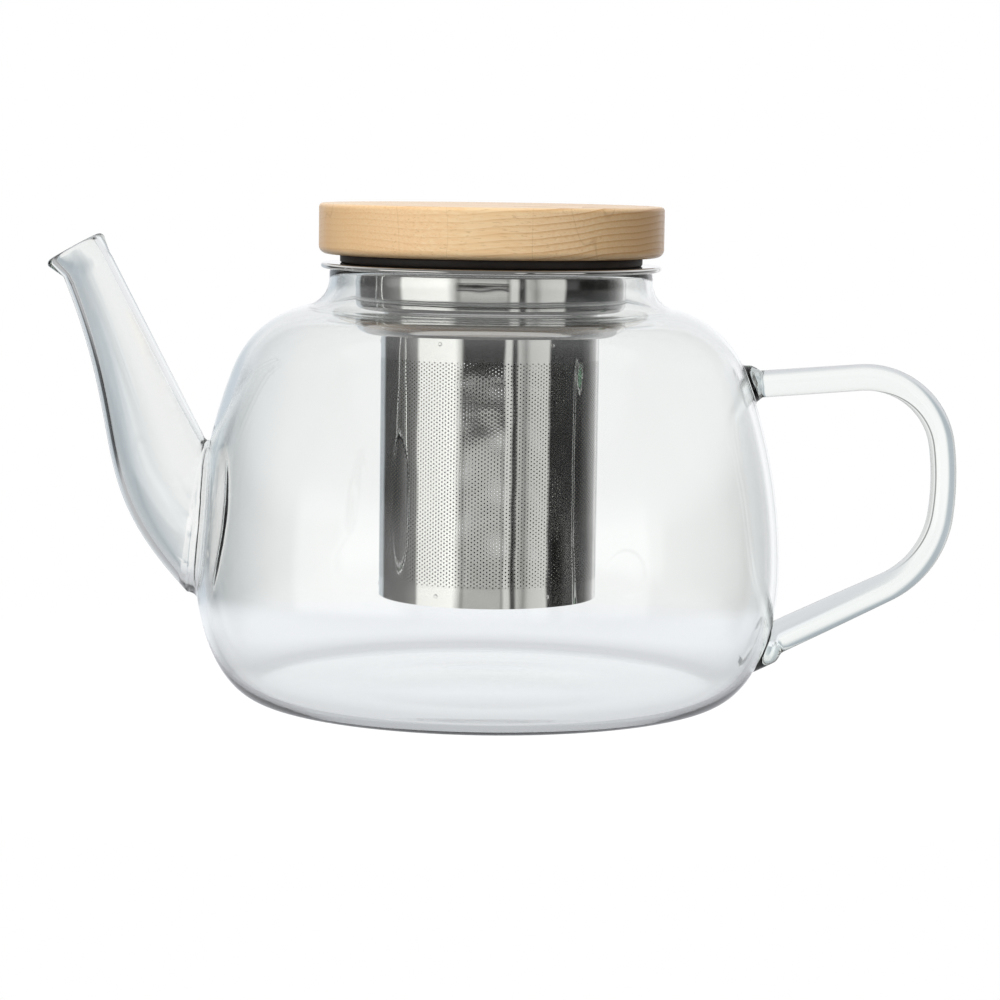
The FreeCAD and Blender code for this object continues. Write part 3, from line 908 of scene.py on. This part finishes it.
def beech_lid(wood):
    """The lid and the plug under it, turned from one piece, with eased edges."""
    top, radius = high("lid_disc")[2], high("lid_disc")[1]
    plug_z, plug = low("lid_disc")[2], PLUG_RADIUS
    under = high("lid_seal")[2]
    outline = [
        [(0, plug_z)],
        run_points((4, plug_z), (plug - 0.6, plug_z), 4),
        arc_points((plug - 0.6, plug_z + 0.6), 0.6, -90, 0, 0.25),
        run_points((plug, plug_z + 0.6), (plug, under), 2),
        run_points((plug, under), (radius - 2, under), 3),
        arc_points((radius - 2, under + 2), 2, -90, 0, 0.3),
        run_points((radius, under + 2), (radius, top - 1), 1.5),
        arc_points((radius - 1, top - 1), 1, 0, 90, 0.2),
        run_points((radius - 1, top), (4, top), 3),
        [(4, top), (0, top)],
    ]
    return turned_piece("beech_lid", outline, wood, "lid", ("lid_disc",), 256, closed=False)


def ribbed_seal(rubber):
    """The silicone ring: a brim under the lid and a skirt with three soft ribs inside the collar."""
    brim, top, bottom = high("lid_seal")[1], high("lid_seal")[2], low("lid_seal")[2]
    skirt, plug, rib, half = 31.2, PLUG_RADIUS, 33.05, 0.9
    pitch = (FLANGE_TOP_Z - bottom) / 4
    parts = [run_points((plug, bottom), (skirt - 0.4, bottom), 1),
             arc_points((skirt - 0.4, bottom + 0.4), 0.4, -90, 0, 0.15)]
    tip = 0.25
    for k in range(3):
        z = bottom + pitch * (k + 1)
        parts.append(run_points((skirt, z - half), (rib - tip, z - tip), 0.6))
        parts.append(arc_points((rib - tip, z), tip, -80, 80, 0.12))
        parts.append(run_points((rib - tip, z + tip), (skirt, z + half), 0.6))
    parts += [
        run_points((skirt, FLANGE_TOP_Z - 0.5), (skirt + 0.5, FLANGE_TOP_Z), 0.3),
        run_points((skirt + 0.5, FLANGE_TOP_Z), (brim - 0.6, FLANGE_TOP_Z), 1.5),
        arc_points((brim - 0.6, FLANGE_TOP_Z + 0.6), 0.6, -90, 0, 0.15),
        arc_points((brim - 0.6, top - 0.6), 0.6, 0, 90, 0.15),
        run_points((brim - 0.6, top), (plug, top), 1.5),
        run_points((plug, top), (plug, bottom), 2),
    ]
    return turned_piece("lid_seal_ring", parts, rubber, "lid", ("lid_seal",), 192)


# ---- the studio ------------------------------------------------------------------------------
def through_glass(tree):
    """One for light that has come straight through glass, and nought once anything has mirrored it."""
    path = node(tree, "LightPath").outputs
    bent = node(tree, "Math GREATER_THAN", {0: path["Transmission Depth"], 1: 0.5})
    unmirrored = node(tree, "Math LESS_THAN", {0: path["Glossy Depth"], 1: 0.5})
    return node(tree, "Math MULTIPLY", {0: bent, 1: unmirrored})


def studio():
    """A white room behind, grey with soft boxes and dark flags on the near side."""
    scene = bpy.context.scene
    world = bpy.data.worlds.new("studio")
    scene.world = world
    world.use_nodes = True
    tree = world.node_tree
    tree.nodes.clear()
    way = node(tree, "TexCoord").outputs["Generated"]
    right, away, up = node(tree, "SeparateXYZ", {0: way}).outputs
    ahead = node(tree, "Math MULTIPLY", {0: away, 1: -1.0})
    turn = node(tree, "Math ARCTAN2", {0: right, 1: ahead})
    turn = node(tree, "MapRange", {"Value": turn, "From Min": -math.pi, "From Max": math.pi})

    def round_room(levels):
        """Greys round the room in degrees: from behind the pot, by its left and near side, to behind."""
        return node(tree, "ValToRGB", {0: turn}, [((a + 180) / 360, level) for a, level in levels])

    dusk, night = [0.6, 0.65, 0.69, 1.0], [0.46, 0.51, 0.55, 1.0]
    room = round_room([
        (-180, 1.0), (-173, 0.99), (-163, dusk), (-148, dusk), (-140, 0.05), (-116, 0.06), (-97, 0.14),
        (-82, 0.3), (-78, 1.2), (-36, 1.35), (-29, 0.6), (-26, 0.02), (14, 0.02), (18, 0.85), (23, 0.8),
        (25, 0.04), (28, 0.04), (31, 0.65), (38, 0.35), (44, 0.7), (64, 0.8), (67, 0.01), (112, 0.01),
        (126, 0.12), (134, 0.3), (147, 0.6), (152, 1.0), (159, 1.0), (161, 0.45), (163, 1.0), (180, 1.0)])
    # a lighter panel below the dark one on the near side
    near_side = round_room([(-180, 0.0), (-30, 0.0), (-24, 1.0), (13, 1.0), (17, 0.0)])
    low_down = node(tree, "MapRange", {"Value": up, "From Min": -0.17, "From Max": 0.0})
    panel = node(tree, "ValToRGB", {0: low_down},
                 [(0.0, 0.5), (0.38, 0.64), (0.5, 0.55), (0.53, 0.05), (0.57, 0.05), (0.6, 0.45),
                  (0.64, 0.4), (0.66, 0.03), (1.0, 0.03)])
    # the walls' upper and lower parts, lighter behind than on the near side
    above = node(tree, "MapRange", {"Value": up, "From Min": 0.04, "From Max": 0.25},
                 interpolation_type="SMOOTHSTEP")
    upper = node(tree, "MapRange",
                 {"Value": away, "From Min": -0.2, "From Max": 0.6, "To Min": 0.2, "To Max": 0.85})
    below = node(tree, "MapRange", {"Value": up, "From Min": -0.21, "From Max": -0.27})
    lower = node(tree, "MapRange",
                 {"Value": away, "From Min": -0.2, "From Max": 0.6, "To Min": 0.12, "To Max": 0.5})
    behind = node(tree, "MapRange", {"Value": away, "From Min": -0.1, "From Max": 0.5})
    # straight through the glass the walls are nearly white all round, so that it stays clear
    beyond = round_room([
        (-180, 0.99), (-175, 0.97), (-167, night), (-146, night), (-138, 0.7), (-100, 0.8), (100, 0.8),
        (134, 0.72), (143, 0.95), (146, 0.3), (149, 0.3), (152, 0.98), (180, 0.99)])
    seen = node(tree, "LightPath").outputs["Is Camera Ray"]
    room = layered(tree, room, [
        (near_side, panel, "MIX"), (above, upper, "MIX"), (below, lower, "MIX"),
        (behind, [0.985, 0.985, 1.01, 1.0], "MULTIPLY"), (through_glass(tree), beyond, "MIX"),
        (seen, [1.0, 1.0, 1.0, 1.0], "MIX"),
    ])
    light = node(tree, "Background", {0: room, 1: 1.0})
    node(tree, "OutputWorld", {0: light})

    for name, spot, size, power in (("key", (-0.55, -0.75, 0.85), 0.7, 13.0),
                                    ("fill", (0.7, -0.6, 0.45), 0.6, 1.8)):
        lamp = bpy.data.lights.new(name, "AREA")
        lamp.shape, lamp.size, lamp.energy = "DISK", size, power
        holder = bpy.data.objects.new(name, lamp)
        holder.location = spot
        holder.rotation_euler = (Vector((0, 0, 0.06)) - Vector(spot)).to_track_quat("-Z", "Y").to_euler()
        holder.visible_glossy = False
        holder.visible_transmission = False
        scene.collection.objects.link(holder)

    scene.view_settings.view_transform = "Standard"
    scene.view_settings.look = "None"
    cycles = scene.cycles
    cycles.max_bounces, cycles.transmission_bounces, cycles.glossy_bounces = 28, 28, 12
    cycles.diffuse_bounces, cycles.transparent_max_bounces, cycles.volume_bounces = 4, 24, 0
    cycles.caustics_reflective = cycles.caustics_refractive = True
    cycles.sample_clamp_indirect = 6.0


def table_top():
    """A seamless white table that glows nearly white by itself, so that only the faintest shadow stays on
    it.
    """
    material, tree = new_material("seamless_white_paper")
    place = millimetres(tree)
    mottle = node(tree, "TexNoise", {"Vector": place, "Scale": 0.01})
    tone = node(tree, "MapRange", {"Value": mottle, "To Min": 0.1, "To Max": 0.12})
    paper = node(tree, "BsdfDiffuse", {"Color": tone})
    glow = node(tree, "Emission", {"Color": "#FFFFFF", "Strength": 0.95})
    lit = node(tree, "AddShader", {0: paper, 1: glow})
    # in the glass and the steel it shows a painted reflection, a glow that is white where it is seen flat
    # along it and darker from above, with painted light that keeps it from going dark under the pot or
    # straight through the glass
    flat = node(tree, "LayerWeight", {"Blend": 0.5}).outputs["Facing"]
    level = node(tree, "ValToRGB", {0: flat},
                 [(0.0, 0.07), (0.3, 0.14), (0.5, 0.32), (0.7, 0.62), (0.81, 1.0), (1.0, 1.03)])
    out = node(tree, "VectorMath LENGTH", {0: place})
    # painted light: the glow stays bright under the pot, where the table would lie in shade
    painted_light_under_pot = node(tree, "MapRange",
                     {"Value": out, "From Min": 68.0, "From Max": 90.0, "To Min": 0.62, "To Max": 0.0},
                     interpolation_type="SMOOTHSTEP")
    # painted glow for the table seen straight through the glass
    painted_glow_through_glass = node(tree, "Math MULTIPLY", {0: through_glass(tree), 1: 0.76})
    for least in (painted_light_under_pot, painted_glow_through_glass):
        level = node(tree, "Math MAXIMUM", {0: level, 1: least})
    # painted reflection: glass and steel see this glow in place of the lit table
    painted_reflection_glow = node(tree, "Emission", {"Color": "#F9FAFF", "Strength": level})
    direct = node(tree, "LightPath").outputs["Is Camera Ray"]
    surface = node(tree, "MixShader", {0: direct, 1: painted_reflection_glow, 2: lit})
    # its edge melts into the white behind
    fade = node(tree, "MapRange", {"Value": out, "From Min": 115.0, "From Max": 195.0},
                interpolation_type="SMOOTHSTEP")
    gone = node(tree, "BsdfTransparent", {0: "#FFFFFF"})
    both = node(tree, "MixShader", {0: fade, 1: surface, 2: gone})
    node(tree, "OutputMaterial", {"Surface": both})
    mesh = bpy.data.meshes.new("table_top")
    reach, sides = 0.2, 96
    rim = [(reach * math.cos(TURN * k / sides), reach * math.sin(TURN * k / sides), -0.0001)
           for k in range(sides)]
    mesh.from_pydata(rim, [], [tuple(range(sides))])
    top = bpy.data.objects.new("table_top", mesh)
    mesh.materials.append(material)
    bpy.context.scene.collection.objects.link(top)


def camera():
    """A long lens a little above the lid, looking slightly down."""
    down, roll = math.radians(6.28), math.radians(0.8)
    right = Vector((1, 0, 0))
    forward = Vector((0, math.cos(down), -math.sin(down)))
    up = right.cross(forward)
    across = math.cos(roll) * right + math.sin(roll) * up
    over = math.cos(roll) * up - math.sin(roll) * right
    lens = bpy.data.cameras.new("camera")
    lens.lens, lens.sensor_width = 112.68, 36.0
    eye = bpy.data.objects.new("camera", lens)
    turn = Matrix((across, over, -forward)).transposed().to_4x4()
    eye.matrix_world = Matrix.Translation(Vector((3.0, -782.5, 135.6)) * MM) @ turn
    bpy.context.scene.collection.objects.link(eye)
    bpy.context.scene.camera = eye


# ---- all of it -------------------------------------------------------------------------------
studio()
table_top()
camera()
glass_pot(blown_glass())
steel = polished_steel()
collar(steel)
cup(steel)
holes_top = punched_sheet(steel)
plain_band("strainer_low_band", SLEEVE_Z[0], SLEEVE_Z[0] + LOW_BAND, steel)
plain_band("strainer_top_band", holes_top, SLEEVE_Z[1], steel)
spot_welds(steel, [(SLEEVE_Z[0] + 2.6, -90 + 33), (SLEEVE_Z[1] - 1.5, -90 + 34)])
beech_lid(lacquered_beech())
ribbed_seal(moulded_silicone())
